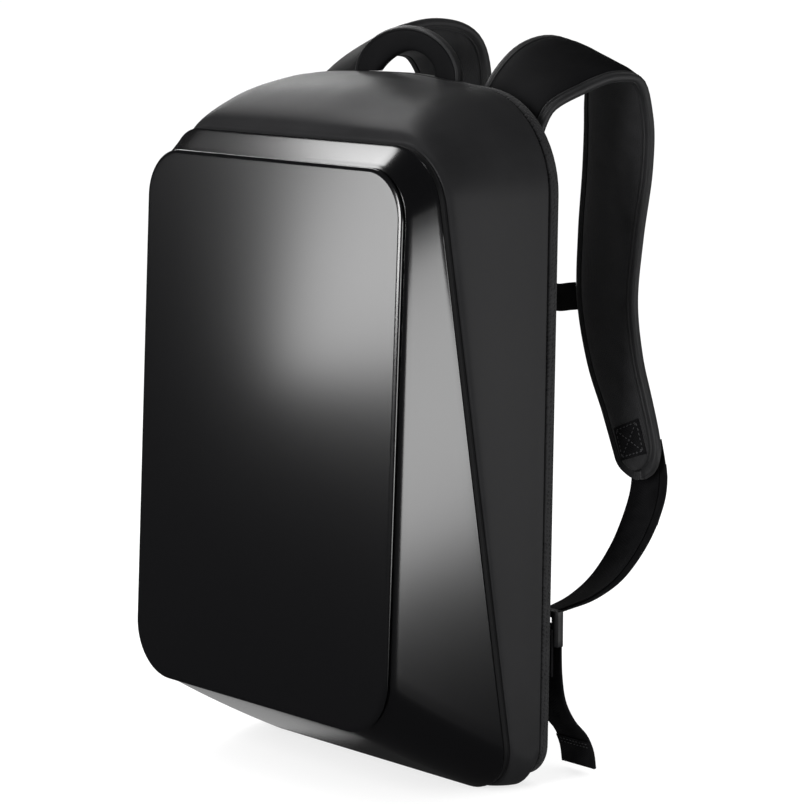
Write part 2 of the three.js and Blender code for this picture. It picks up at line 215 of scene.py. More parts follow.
class Outline:
    """A rounded outline in the X-Z plane, the same on both sides, whose top edge may be crowned."""

    FIELDS = ("half_top", "half_bottom", "top", "bottom", "radius_top", "radius_bottom", "crown")

    def __init__(self, **sizes):
        for field in self.FIELDS:
            setattr(self, field, sizes.get(field, 0.0))

    def mixed(self, other, share, bottom_share=None):
        shares = {"bottom": share if bottom_share is None else bottom_share}
        return Outline(**{
            field: mix(getattr(self, field), getattr(other, field), shares.get(field, share))
            for field in self.FIELDS
        })

    def inset(self, by):
        return Outline(
            half_top=self.half_top - by,
            half_bottom=self.half_bottom - by,
            top=self.top - by,
            bottom=self.bottom + by,
            radius_top=max(self.radius_top - by, 0.001),
            radius_bottom=max(self.radius_bottom - by, 0.001),
            crown=self.crown,
        )

    def crown_at(self, x):
        """How far the soft top is raised at a place: it falls away sooner on the right."""
        if x < 0:
            return self.crown * (1 - (x / self.half_top) ** 2)
        return self.crown * (1 + math.cos(math.pi * x / CROWN_REACH)) / 2 if x < CROWN_REACH else 0.0

    def points(self):
        """Points (x, z) once round, from the lower right corner and up the right side."""
        x_low, z_low = self.half_bottom - self.radius_bottom, self.bottom + self.radius_bottom
        x_high, z_high = self.half_top - self.radius_top, self.top - self.radius_top
        corners = [
            (x_low, z_low, self.radius_bottom, SIDE_STEPS),
            (x_high, z_high, self.radius_top, END_STEPS),
            (-x_high, z_high, self.radius_top, SIDE_STEPS),
            (-x_low, z_low, self.radius_bottom, END_STEPS),
        ]

        def corner_point(corner, quarter, share):
            angle = (quarter - 1 + share) * math.pi / 2
            return (corner[0] + corner[2] * math.cos(angle), corner[1] + corner[2] * math.sin(angle))

        points = []
        for quarter, corner in enumerate(corners):
            points += [corner_point(corner, quarter, step / CORNER_STEPS) for step in range(CORNER_STEPS + 1)]
            start, end = points[-1], corner_point(corners[(quarter + 1) % 4], quarter + 1, 0)
            for step in range(1, corner[3]):
                x = mix(start[0], end[0], step / corner[3])
                points.append((x, mix(start[1], end[1], step / corner[3])))
        return [(x, z + self.crown_at(x)) if z > z_high else (x, z) for x, z in points]


SEAM_HALF_WIDTH = BODY_HALF_WIDTH - SEAM_NARROWING
PLATE_HALF_WIDTH = SEAM_HALF_WIDTH - PLATE_SIDE_MARGIN
seam_outline = Outline(
    half_top=SEAM_HALF_WIDTH, half_bottom=SEAM_HALF_WIDTH, top=SEAM_TOP, bottom=0.0,
    radius_top=SEAM_CORNER, radius_bottom=SEAM_CORNER,
)
back_outline = Outline(
    half_top=BODY_HALF_WIDTH + TOP_FLARE, half_bottom=BODY_HALF_WIDTH, top=BODY_TOP, bottom=REAR_LIFT,
    radius_top=TOP_CORNER, radius_bottom=BOTTOM_CORNER, crown=TOP_CROWN,
)
plate_outline = Outline(
    half_top=PLATE_HALF_WIDTH - PLATE_TAPER, half_bottom=PLATE_HALF_WIDTH + PLATE_TAPER,
    top=PLATE_TOP, bottom=PLATE_BOTTOM,
    radius_top=PLATE_TOP_CORNER, radius_bottom=PLATE_BOTTOM_CORNER,
)


def seam_depth(z):
    return mix(SEAM_BOTTOM_DEPTH, SEAM_TOP_DEPTH, z / SEAM_TOP)


def plate_depth(z):
    return mix(PLATE_BOTTOM_DEPTH, PLATE_TOP_DEPTH, (z - PLATE_BOTTOM) / (PLATE_TOP - PLATE_BOTTOM))


def rim_depth(z):
    return plate_depth(z) - PLATE_STAND


def ring(outline, depth):
    """A ring of points in space: an outline whose depth ahead of the rear face follows its height."""
    return [Vector((x, REAR_FACE - depth(z), z)) for x, z in outline.points()]


def lay_uv(bm):
    """A UV map in metres from the lay of each point, mended where a ring closes on itself."""
    lay = bm.verts.layers.float_vector.get("lay")
    if lay is None:
        return
    uv_layer = bm.loops.layers.uv.new("lay_metres")
    for face in bm.faces:
        around = [loop.vert[lay].x for loop in face.loops]
        turn = max(loop.vert[lay].z for loop in face.loops)
        for loop, distance in zip(face.loops, around):
            wrapped = turn if max(around) - distance > turn / 2 else 0.0
            loop[uv_layer].uv = (distance + wrapped, loop.vert[lay].y)


def skin(rings, looped=False, caps=True):
    """A skin over closed rings of points: the first is drawn, each next one is extruded and set in place."""
    bm = bmesh.new()
    lay = bm.verts.layers.float_vector.new("lay")
    verts = [bm.verts.new(point) for point in rings[0]]
    edges = [bm.edges.new(pair) for pair in zip(verts, verts[1:] + verts[:1])]
    if caps and not looped:
        bm.faces.new(verts)

    def mark(heights):
        turn = sum((a.co - b.co).length for a, b in zip(verts, verts[1:] + verts[:1]))
        distance = 0.0
        for index, vert in enumerate(verts):
            if index:
                distance += (vert.co - verts[index - 1].co).length
            vert[lay] = (distance, heights[index], turn)

    heights = [0.0] * len(verts)
    mark(heights)
    for points in rings[1:] + (rings[:1] if looped else []):
        made = bmesh.ops.extrude_edge_only(bm, edges=edges)["geom"]
        fresh = {item for item in made if isinstance(item, bmesh.types.BMVert)}
        verts = [
            next(edge.other_vert(vert) for edge in vert.link_edges if edge.other_vert(vert) in fresh)
            for vert in verts
        ]
        for index, (vert, point) in enumerate(zip(verts, points)):
            heights[index] += (vert.co - point).length
            vert.co = point
        mark(heights)
        edges = [bm.edges.get(pair) for pair in zip(verts, verts[1:] + verts[:1])]
    if caps and not looped:
        bm.faces.new(verts)
    if looped:
        bmesh.ops.remove_doubles(bm, verts=bm.verts[:], dist=MERGE)
    return bm


def mesh_of(name, bm):
    """A mesh from a bmesh, which is freed."""
    mesh = bpy.data.meshes.new(name)
    bm.to_mesh(mesh)
    bm.free()
    return mesh


def placed(name, data):
    """An object of the scene that holds the data."""
    thing = bpy.data.objects.new(name, data)
    bpy.context.scene.collection.objects.link(thing)
    return thing


def round_off(bm, edges, offset, segments):
    bmesh.ops.bevel(
        bm, geom=edges, offset=offset, segments=segments, profile=0.5, affect="EDGES", material=-1,
        clamp_overlap=True,
    )


def sine_shares(steps):
    """Shares from -1 to 1 that lie closer towards both ends."""
    return [math.sin(step / steps * math.pi / 2) for step in range(-steps, steps + 1)]


def quarter(steps):
    """Angles from nought to a right angle."""
    return [step / steps * math.pi / 2 for step in range(steps + 1)]


def add_piece(name, bm, slot, nodes=(), looks=None, sharp=35.0):
    """A finished piece from a bmesh, set to ride and to stand for its nodes. Its look is its slot's own
    finish, unless others are named."""
    bmesh.ops.recalc_face_normals(bm, faces=bm.faces[:])
    for face in bm.faces:
        face.smooth = True
    lay_uv(bm)
    mesh = mesh_of(name, bm)
    mesh.set_sharp_from_angle(angle=math.radians(sharp))
    for look in looks or [slot]:
        mesh.materials.append(FINISHES[look])
    piece = placed(name, mesh)
    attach(piece, "root")
    if nodes:
        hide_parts(*nodes)
    return piece


class Route:
    """A smooth way through rows of (x, y, z, width, turn in degrees), measured along its length."""

    def __init__(self, rows, across=(1.0, 0.0, 0.0), per_row=24):
        self.rows = [Vector(row) for row in rows]
        self.across = Vector(across)
        self.table = [(0.0, 0.0)]
        before = self.value(0.0)
        for step in range(1, (len(rows) - 1) * per_row + 1):
            here = self.value(step / per_row)
            run = (self.place(here) - self.place(before)).length
            self.table.append((self.table[-1][0] + run, step / per_row))
            before = here
        self.length = self.table[-1][0]

    @staticmethod
    def place(row):
        return Vector(row[:3])

    def value(self, position):
        """The row at a position counted in rows, on a centripetal curve."""
        rows = self.rows
        index = min(int(position), len(rows) - 2)
        share = position - index
        start, end = rows[index], rows[index + 1]
        before = rows[index - 1] if index else start * 2 - end
        after = rows[index + 2] if index + 2 < len(rows) else end * 2 - start

        def pace(first, second):
            return max(math.sqrt((self.place(second) - self.place(first)).length), 1e-5)

        first, middle, last = pace(before, start), pace(start, end), pace(end, after)
        run = (end - start) / middle
        leave = ((start - before) / first - (end - before) / (first + middle) + run) * middle
        arrive = (run - (after - start) / (middle + last) + (after - end) / last) * middle
        square, cube = share ** 2, share ** 3
        return (
            start * (2 * cube - 3 * square + 1) + leave * (cube - 2 * square + share)
            + end * (3 * square - 2 * cube) + arrive * (cube - square)
        )

    def position(self, length):
        for (low, start), (high, end) in zip(self.table, self.table[1:]):
            if length <= high:
                return mix(start, end, (length - low) / max(high - low, 1e-9))
        return self.table[-1][1]

    def at(self, length):
        """Centre, side, normal and width at a length along the route."""
        position = self.position(length)
        row = self.value(position)
        step, limit = 0.02, len(self.rows) - 1
        ahead, behind = self.value(min(position + step, limit)), self.value(max(position - step, 0.0))
        along = (self.place(ahead) - self.place(behind)).normalized()
        side = (self.across - along * self.across.dot(along)).normalized()
        turn = math.radians(row[4])
        side = side * math.cos(turn) + along.cross(side) * math.sin(turn)
        return self.place(row), side, along.cross(side), row[3]


def band(route, lengths, section):
    """A closed band along a route. The section gives points (side, normal) for a width and a length."""
    rings = []
    for length in lengths:
        centre, side, normal, width = route.at(length)
        rings.append([centre + side * a + normal * b for a, b in section(width, length)])
    return skin(rings)


def spread(start, end, step):
    """Even lengths from start to end, about a step apart."""
    count = max(int(round((end - start) / step)), 1)
    return [mix(start, end, index / count) for index in range(count + 1)]


# Materials


class Nodes:
    """Short calls that place and link the nodes of one node tree."""

    def __init__(self, tree):
        self.tree = tree

    def add(self, kind, inputs=(), **settings):
        node = self.tree.nodes.new(kind)
        for name, value in settings.items():
            setattr(node, name, value)
        for key, value in dict(inputs).items():
            self.feed(node.inputs[key], value)
        return node

    def feed(self, socket, value):
        if isinstance(value, bpy.types.NodeSocket):
            self.tree.links.new(value, socket)
        else:
            socket.default_value = value

    def math(self, operation, *values):
        node = self.add("ShaderNodeMath", operation=operation)
        for socket, value in zip(node.inputs, values):
            self.feed(socket, value)
        return node.outputs[0]

    def span(self, value, low, high, new_low, new_high):
        node = self.add("ShaderNodeMapRange", {
            "Value": value, "From Min": low, "From Max": high, "To Min": new_low, "To Max": new_high,
        })
        return node.outputs["Result"]

    def turns(self, value, pitch):
        """A length as an angle that goes once round in a pitch."""
        return self.math("DIVIDE", self.math("MULTIPLY", value, 2 * math.pi), pitch)

    def noise(self, vector, scale, detail=3.0, roughness=0.5):
        node = self.add("ShaderNodeTexNoise", {
            "Vector": vector, "Scale": scale, "Detail": detail, "Roughness": roughness,
        })
        return node.outputs["Fac"]


def node_group(name, settings, outputs, build):
    """A shader node group that takes a vector and named settings, built once."""
    tree = bpy.data.node_groups.new(name, "ShaderNodeTree")
    tree.interface.new_socket("Vector", in_out="INPUT", socket_type="NodeSocketVector")
    for label, value in settings.items():
        socket = tree.interface.new_socket(label, in_out="INPUT", socket_type="NodeSocketFloat")
        socket.default_value = value
    for label in outputs:
        tree.interface.new_socket(label, in_out="OUTPUT", socket_type="NodeSocketFloat")
    nodes = Nodes(tree)
    given = nodes.add("NodeGroupInput").outputs
    results = nodes.add("NodeGroupOutput").inputs
    for label, value in build(nodes, given).items():
        nodes.feed(results[label], value)
    return tree


def plain_weave(nodes, given):
    """Threads that pass over and under each other, with slightly uneven spacing."""
    wobble = nodes.noise(given["Vector"], 260.0, 2.0)
    parts = nodes.add("ShaderNodeSeparateXYZ", {0: given["Vector"]}).outputs
    waves = []
    for axis in (0, 1):
        turns = nodes.turns(parts[axis], given["Pitch"])
        waves.append(nodes.math("SINE", nodes.math("ADD", turns, nodes.math("MULTIPLY", wobble, 1.6))))
    height = nodes.span(nodes.math("MULTIPLY", *waves), -1.0, 1.0, 0.0, 1.0)
    patch = nodes.noise(given["Vector"], given["Patch Scale"], 4.0, 0.6)
    return {"Height": height, "Patch": patch}


def webbing_weave(nodes, given):
    """Ribs across the webbing that turn at the middle and along both edges, as in a herringbone."""
    parts = nodes.add("ShaderNodeSeparateXYZ", {0: given["Vector"]}).outputs
    slant = nodes.math("PINGPONG", parts[0], given["Chevron"])
    place = nodes.math("ADD", parts[1], nodes.math("MULTIPLY", slant, 0.7))
    ribs = nodes.span(nodes.math("SINE", nodes.turns(place, given["Pitch"])), -1.0, 1.0, 0.0, 1.0)
    fine = nodes.span(nodes.math("SINE", nodes.turns(parts[0], given["Pitch"])), -1.0, 1.0, 0.0, 0.35)
    return {"Height": nodes.math("ADD", ribs, fine), "Patch": nodes.noise(given["Vector"], 90.0, 3.0)}


def knit_mesh(nodes, given):
    """Round holes of a spacer mesh, in cells of one pitch."""
    scale = nodes.math("DIVIDE", 1.0, given["Pitch"])
    cells = nodes.add("ShaderNodeTexVoronoi", {
        "Vector": given["Vector"], "Scale": scale, "Randomness": 0.35,
    }, voronoi_dimensions="2D")
    hole = nodes.span(cells.outputs["Distance"], 0.12, 0.34, 0.0, 1.0)
    patch = nodes.noise(given["Vector"], 60.0, 3.0)
    return {"Height": hole, "Open": hole, "Patch": patch}


def moulded_plastic(nodes, given):
    """A faint orange peel, and smudges that change the gloss over wide patches."""
    peel = nodes.noise(given["Vector"], given["Peel Scale"], 2.0)
    smudge = nodes.noise(given["Vector"], given["Smudge Scale"], 5.0, 0.62)
    fleck = nodes.span(nodes.noise(given["Vector"], 2400.0, 1.0), 0.68, 0.78, 0.0, 1.0)
    return {"Height": peel, "Smudge": smudge, "Fleck": fleck}


weave_group = node_group(
    "plain_weave", {"Pitch": 0.0008, "Patch Scale": 14.0}, ("Height", "Patch"), plain_weave,
)
webbing_group = node_group(
    "webbing_weave", {"Pitch": 0.0016, "Chevron": 0.008}, ("Height", "Patch"), webbing_weave,
)
mesh_group = node_group("knit_mesh", {"Pitch": 0.003}, ("Height", "Open", "Patch"), knit_mesh)
plastic_group = node_group(
    "moulded_plastic", {"Peel Scale": 300.0, "Smudge Scale": 9.0}, ("Height", "Smudge", "Fleck"),
    moulded_plastic,
)


def base_material(name, shader_values):
    """A material with its Principled BSDF, whose plain values are set on its own sockets."""
    material = bpy.data.materials.new(name)
    material.use_nodes = True
    nodes = Nodes(material.node_tree)
    shader = next(node for node in material.node_tree.nodes if node.type == "BSDF_PRINCIPLED")
    for key, value in shader_values.items():
        shader.inputs[key].default_value = value
    return material, nodes, shader


def tint(nodes, dark, light, mask):
    """A near grey between two tints by the mask. A tint is its grey and its slightly higher blue."""
    node = nodes.add("ShaderNodeMix", {"Factor": mask}, data_type="RGBA")
    for socket, (grey, blue) in ((6, dark), (7, light)):
        node.inputs[socket].default_value = (grey, grey, blue, 1.0)
    return node.outputs[2]


def bump(nodes, height, distance):
    node = nodes.add("ShaderNodeBump", {"Height": height, "Distance": distance, "Strength": 1.0})
    return node.outputs["Normal"]


def plastic_material(name, dark, light, gloss, peel, peel_scale, smudge_scale, ior, specular):
    material, nodes, shader = base_material(name, {"IOR": ior, "Specular IOR Level": specular})
    place = nodes.add("ShaderNodeTexCoord").outputs["Object"]
    grain = nodes.add("ShaderNodeGroup", node_tree=plastic_group)
    nodes.feed(grain.inputs["Vector"], place)
    grain.inputs["Peel Scale"].default_value = peel_scale
    grain.inputs["Smudge Scale"].default_value = smudge_scale
    nodes.feed(shader.inputs["Base Color"], tint(nodes, dark, light, grain.outputs["Fleck"]))
    nodes.feed(shader.inputs["Roughness"], nodes.span(grain.outputs["Smudge"], 0.3, 0.7, *gloss))
    nodes.feed(shader.inputs["Normal"], bump(nodes, grain.outputs["Height"], peel))
    return material


def cloth_material(name, dark, light, rough, relief, group, pitch, ior, specular, sheen, sheen_rough):
    material, nodes, shader = base_material(name, {
        "IOR": ior, "Specular IOR Level": specular, "Sheen Weight": sheen, "Sheen Roughness": sheen_rough,
    })
    place = nodes.add("ShaderNodeUVMap", uv_map="lay_metres").outputs["UV"]
    weave = nodes.add("ShaderNodeGroup", node_tree=group)
    nodes.feed(weave.inputs["Vector"], place)
    weave.inputs["Pitch"].default_value = pitch
    patch = nodes.span(weave.outputs["Patch"], 0.35, 0.65, 0.0, 0.5)
    mask = nodes.math("ADD", patch, nodes.math("MULTIPLY", weave.outputs["Height"], 0.5))
    nodes.feed(shader.inputs["Base Color"], tint(nodes, dark, light, mask))
    nodes.feed(shader.inputs["Roughness"], nodes.span(weave.outputs["Patch"], 0.35, 0.65, *rough))
    nodes.feed(shader.inputs["Normal"], bump(nodes, weave.outputs["Height"], relief))
    return material


# Plastics: dark and light tint, roughness from clean to smudged, depth of the peel, scales of peel and
# smudges, IOR and specular level
PLASTIC_TABLE = {
    "plate_gloss": ((0.0025, 0.0028), (0.004, 0.0044), (0.165, 0.175), 0.000003, 300.0, 5.0, 1.5, 0.5),
    "shell_gloss": ((0.0022, 0.0025), (0.0038, 0.0042), (0.17, 0.185), 0.000003, 300.0, 6.0, 1.5, 0.5),
    "buckle_plastic": ((0.004, 0.0045), (0.008, 0.0088), (0.42, 0.52), 0.00003, 1500.0, 40.0, 1.49, 0.3),
}
# Cloths: dark and light tint, roughness from worn to fresh, depth of the relief, weave and its pitch,
# IOR, specular level, sheen weight and sheen roughness
CLOTH_TABLE = {
    "body_fabric": (
        (0.008, 0.0085), (0.014, 0.0148), (0.44, 0.50), 0.00003, weave_group, 0.0007, 1.5, 0.10, 0.02, 0.4),
    "piping": (
        (0.003, 0.0033), (0.007, 0.0075), (0.46, 0.56), 0.00005, weave_group, 0.0006, 1.45, 0.1, 0.02, 0.4),
    "strap_fabric": (
        (0.003, 0.0033), (0.0065, 0.007), (0.56, 0.64), 0.00004, weave_group, 0.0008, 1.45, 0.04, 0.0, 0.45),
    "binding_tape": (
        (0.006, 0.0065), (0.012, 0.0128), (0.44, 0.54), 0.00007, webbing_group, 0.0011, 1.45, 0.3, 0.06, 0.4),
    "strap_lining": (
        (0.006, 0.0065), (0.013, 0.0138), (0.60, 0.72), 0.00018, mesh_group, 0.0016, 1.4, 0.2, 0.05, 0.5),
    "panel_fabric": (
        (0.005, 0.0055), (0.012, 0.0128), (0.62, 0.75), 0.00045, mesh_group, 0.0032, 1.4, 0.2, 0.06, 0.5),
    "webbing": (
        (0.0025, 0.0028), (0.0065, 0.007), (0.72, 0.82), 0.00016, webbing_group, 0.0019, 1.45, 0.03, 0.0,
        0.4),
    "thread": (
        (0.014, 0.015), (0.030, 0.032), (0.40, 0.48), 0.00004, weave_group, 0.0005, 1.48, 0.5, 0.2, 0.3),
}
FINISHES = {name: plastic_material(name, *row) for name, row in PLASTIC_TABLE.items()}
FINISHES.update({name: cloth_material(name, *row) for name, row in CLOTH_TABLE.items()})


# Front plate, shell and seam


# Edge of the plate: distances in from its outline and back from its face. Then the sizes of the rings on it
PLATE_EDGE = [
    (0.0, 0.0022), (0.00005, 0.0016), (0.0002, 0.0012), (0.0005, 0.00095), (0.0008, 0.00078),
    (0.0019, 0.00022), (0.0022, 0.0001), (0.0026, 0.00002), (0.0032, 0.0),
]
PLATE_RINGS = (0.985, 0.965, 0.94, 0.9, 0.84, 0.77, 0.69, 0.6, 0.5, 0.4, 0.3, 0.2, 0.11, 0.04)


def plate_crown(x, z):
    """How far the plate's face stands ahead of its rim at a place."""
    across = 1 - (x / PLATE_HALF_WIDTH) ** 2
    up = 1 - ((z - PLATE_MIDDLE) / (PLATE_TOP - PLATE_MIDDLE)) ** 2
    return PLATE_CROWN * max(across, 0.0) * max(up, 0.0)


def front_plate():
    def seat(z):
        return rim_depth(z) + CLEARANCE

    def face_point(x, z, back=0.0):
        return Vector((x, REAR_FACE - plate_depth(z) - plate_crown(x, z) + back, z))

    rings = [
        ring(plate_outline.inset(PLATE_LIP_INSET + PLATE_WALL), seat),
        ring(plate_outline.inset(PLATE_LIP_INSET), seat),
        ring(plate_outline.inset(PLATE_LIP_INSET), lambda z: seat(z) + SHADOW_GAP),
        ring(plate_outline.inset(PLATE_LIP_ROUND), lambda z: seat(z) + SHADOW_GAP),
        ring(plate_outline, lambda z: seat(z) + SHADOW_GAP + PLATE_LIP_ROUND),
    ]
    for inset, back in PLATE_EDGE:
        rings.append([face_point(x, z, back) for x, z in plate_outline.inset(inset).points()])
    edge = rings[-1]
    for size in PLATE_RINGS:
        rings.append([face_point(point.x * size, mix(PLATE_MIDDLE, point.z, size)) for point in edge])
    return skin(rings)


def hard_shell():
    foot_share = SHELL_FOOT / (rim_depth(0) - seam_depth(0))

    def section(share, bottom_share, inset, depth_offset=0.0, roll=0.0):
        """A section of the shell. Roll is the share of the rear edge's rounding, kept behind the foot."""
        outline = seam_outline.mixed(plate_outline, share, bottom_share).inset(inset)

        def depth(z):
            foot = foot_share * (rim_depth(z) - seam_depth(z))
            return mix(seam_depth(z), rim_depth(z), share) + depth_offset + roll * min(SHELL_EDGE, foot) / 2

        return ring(outline, depth)

    rings = [
        section(1, 1, SHELL_WALL, -SHELL_WALL),
        section(foot_share, 0, SHELL_WALL),
    ]
    for step in range(EDGE_STEPS + 1):
        angle = step / EDGE_STEPS * math.pi
        inset = SHELL_EDGE / 2 * (1 + math.cos(angle))
        rings.append(section(0, 0, inset, roll=1 - math.sin(angle)))
    rings.append(section(foot_share, 0, 0))
    for step in range(1, FACET_STEPS):
        share = mix(foot_share, 1, step / FACET_STEPS)
        rings.append(section(share, (share - foot_share) / (1 - foot_share), 0))
    for angle in quarter(RIM_STEPS)[1:]:
        inset = SHELL_RIM_ROUND * (1 - math.cos(angle))
        rings.append(section(1, 1, inset, -SHELL_RIM_ROUND * (1 - math.sin(angle))))
    rings.append(section(1, 1, PLATE_LIP_INSET + SHELL_LIP))
    return skin(rings)


def seam_piping():
    """A flat piped band with a raised bead along both edges."""
    profile = [
        (-1.0, -0.3), (-1.0, 0.35), (-0.97, 0.72), (-0.86, 0.95), (-0.7, 0.98), (-0.56, 0.84),
        (-0.42, 0.8), (0.0, 0.82), (0.42, 0.8), (0.56, 0.84), (0.7, 0.98), (0.86, 0.95), (0.97, 0.72),
        (1.0, 0.35), (1.0, -0.3), (0.6, -0.9), (-0.6, -0.9),
    ]
    rings = []
    for along, out in profile:
        inset = PIPING_SINK + PIPING_RADIUS * (1 - out)
        offset = SEAM_WIDTH / 2 - PIPING_RADIUS * along
        rings.append(ring(seam_outline.inset(inset), lambda z, offset=offset: seam_depth(z) - offset))
    return skin(rings, looped=True)


# Cloth body: shares of the way from the seam to the panel in depth, in outline and in the lift of the foot
BODY_TABLE = [
    (0.0, 0.0, 0.0),
    (0.02, 0.05, 0.0),
    (0.07, 0.26, 0.0),
    (0.2, 0.5, 0.0),
    (0.42, 0.77, 0.0),
    (0.68, 0.93, 0.0),
    (0.9, 0.99, 0.7),
    (0.97, 1.0, 1.0),
    (1.0, 1.0, 1.0),
]


def undulation(point, size):
    """A soft uneven lie of cloth, the same on each run."""
    return size * noise.noise(point * Vector(WAVES_PER_METRE))


def body_wall():
    shares = Route([(depth, outline, lift, 0.0, 0.0) for depth, outline, lift in BODY_TABLE], per_row=6)

    def section(depth, outline_share, lift, inset):
        outline = seam_outline.mixed(back_outline, outline_share, lift).inset(inset)
        return ring(outline, lambda z: mix(seam_depth(z) - SEAM_WIDTH, PANEL_RIM + CLEARANCE, depth))

    outer = []
    steps = BODY_STEPS * (len(BODY_TABLE) - 1)
    for step in range(steps + 1):
        row = shares.value(step / BODY_STEPS)[:3]
        edge = min(step, steps - step)
        inset = CLOTH_ROLL * (1 - math.sin(min(edge / ROLL_STEPS, 1) * math.pi / 2))
        points = section(*(min(max(value, 0.0), 1.0) for value in row), inset)
        calm = min(edge / CALM_STEPS, 1.0)
        for point in points:
            if point.z > CALM_HEIGHT:
                outward = Vector((point.x, 0, point.z - SEAM_TOP / 2)).normalized()
                point += outward * undulation(point, BODY_UNDULATION) * calm
        outer.append(points)
    inner = [section(depth, share, lift, CLOTH_WALL) for depth, share, lift in reversed(BODY_TABLE)]
    return skin(outer + inner, looped=True)


def back_panel():
    def at(depth):
        return lambda z: depth

    plug_inset = CLOTH_WALL + 2 * CLEARANCE
    rings = [
        ring(back_outline.inset(plug_inset), at(PANEL_THICKNESS)),
        ring(back_outline.inset(plug_inset), at(PANEL_RIM)),
        ring(back_outline.inset(PANEL_SEAM_INSET), at(PANEL_RIM)),
        ring(back_outline.inset(PANEL_SEAM_INSET * 0.4), at(PANEL_RIM - 0.0004)),
        ring(back_outline, at(PANEL_RIM - PANEL_SEAM_INSET)),
    ]
    for angle in quarter(PANEL_STEPS):
        inset = PANEL_ROUND * (1 - math.cos(angle))
        rings.append(ring(back_outline.inset(inset), at(PANEL_ROUND * (1 - math.sin(angle)))))
    for inset, depth in ((0.0065, 0.0002), (0.0085, 0.0012), (0.011, 0.0026), (0.014, PANEL_HOLLOW)):
        rings.append(ring(back_outline.inset(inset), at(depth)))
    bm = skin(rings)
    # The mesh lies flat on the face, and goes on over the rim at its true width
    lay = bm.verts.layers.float_vector["lay"]
    middle = BODY_TOP / 2
    for vert in bm.verts:
        x, z, depth = vert.co.x, vert.co.z, REAR_FACE - vert.co.y
        vert[lay] = (x + x / BODY_HALF_WIDTH * depth, z + (z - middle) / middle * depth, 0.0)
    return bm


# Pads of the back panel: low and high across, low and high up, corner radius, heights of sewn channels
PAD_TABLE = [
    ("back_pad_right", (0.014, 0.126), (0.128, 0.402), 0.030, (0.205, 0.268, 0.331)),
    ("lumbar_pad", (-0.098, 0.098), (0.030, 0.110), 0.024, ()),
    ("top_pad", (-0.054, 0.054), (0.416, 0.468), 0.018, ()),
]
PAD_SINK = 0.0052
PAD_START = 0.0008
PAD_PROUD = 0.0048
PAD_VOXEL = 0.0045
PAD_EDGE = 0.0022
PAD_REACH = 0.005
PAD_PRESSURE = 4.0
PAD_FRAMES = 20
CHANNEL_DEPTH = 0.0032
CHANNEL_WIDTH = 0.0042


def swelled(bm, cap):
    """A closed form filled out as cloth under pressure, with no point moved further than the cap."""
    scene = bpy.context.scene
    form = placed("pad_form", mesh_of("pad_form", bm))
    remesh = form.modifiers.new("remesh", "REMESH")
    remesh.mode = "VOXEL"
    remesh.voxel_size = PAD_VOXEL

    def baked():
        return bpy.data.meshes.new_from_object(form.evaluated_get(bpy.context.evaluated_depsgraph_get()))

    form.data = baked()
    form.modifiers.clear()
    start = [vert.co.copy() for vert in form.data.vertices]
    cloth = form.modifiers.new("cloth", "CLOTH")
    cloth.settings.use_pressure = True
    cloth.settings.uniform_pressure_force = PAD_PRESSURE
    cloth.settings.effector_weights.gravity = 0.0
    cloth.point_cache.frame_start, cloth.point_cache.frame_end = 1, PAD_FRAMES
    for frame_number in range(1, PAD_FRAMES + 1):
        scene.frame_set(frame_number)
    form.data = baked()
    form.modifiers.clear()
    scene.frame_set(1)
    for vert, was in zip(form.data.vertices, start):
        move = vert.co - was
        if move.length > cap:
            vert.co = was + move.normalized() * cap
    subdivide = form.modifiers.new("subdivide", "SUBSURF")
    subdivide.levels = subdivide.render_levels = 1
    result = bmesh.new()
    result.from_mesh(baked())
    bpy.data.objects.remove(form)
    return result


def panel_pads():
    """Padded fields that stand proud of the back panel, with sewn channels across the tall ones."""
    for name, (left, right), (low, high), corner, channels in PAD_TABLE:
        near, far = Vector((left, REAR_FACE - PAD_SINK, low)), Vector((right, REAR_FACE + PAD_START, high))
        bm = swelled(rounded_block(near, far, corner, PAD_EDGE), PAD_REACH)
        for vert in bm.verts:
            rise = vert.co.y - REAR_FACE + PAD_SINK
            for height in channels:
                press = math.exp(-((vert.co.z - height) / CHANNEL_WIDTH) ** 2)
                rise -= CHANNEL_DEPTH * press * min(max(rise / PAD_SINK, 0.0), 1.0)
            vert.co.y = REAR_FACE - PAD_SINK + min(rise, PAD_SINK + PAD_PROUD)
        uv_layer = bm.loops.layers.uv.new("lay_metres")
        for face in bm.faces:
            for loop in face.loops:
                loop[uv_layer].uv = (loop.vert.co.x, loop.vert.co.z)
        twins = [(name, bm)]
        if name.endswith("right"):
            other = bm.copy()
            bmesh.ops.scale(other, vec=(-1.0, 1.0, 1.0), verts=other.verts[:])
            twins.append((name.replace("right", "left"), other))
        for label, form in twins:
            add_piece(label, form, "panel_fabric")


